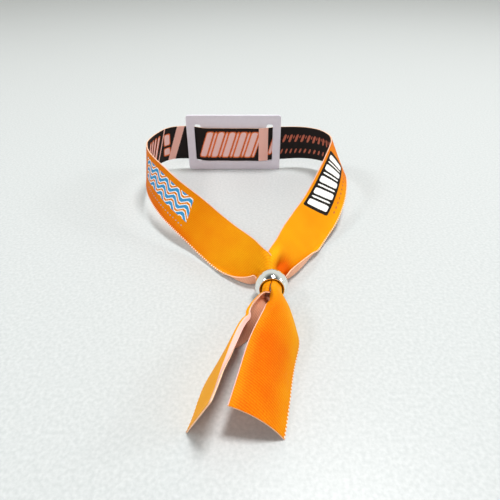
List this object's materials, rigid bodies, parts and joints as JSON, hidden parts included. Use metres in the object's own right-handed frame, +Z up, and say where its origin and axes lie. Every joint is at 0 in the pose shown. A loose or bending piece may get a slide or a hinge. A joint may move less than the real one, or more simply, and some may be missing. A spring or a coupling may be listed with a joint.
{
  "type": "wristband",
  "caption": "Woven ribbon wristband threaded through a small slotted card and closed by a round sliding bead, lying open as a loop with two free tails.",
  "frame": {"origin": "middle of the card's lower edge, on the surface the band lies on", "axes": "+Z up, -Y from the card to the bead and the tails, X along the card"},
  "size_m": [0.0814, 0.1343, 0.0249],
  "materials": {
    "fabric": "satin weave",
    "card_plastic": "semi-gloss",
    "bead_metal": "polished"
  },
  "bodies": {
    "root": {"ribbon": "fabric", "card": "card_plastic", "bead": "bead_metal"}
  },
  "joints": []
}
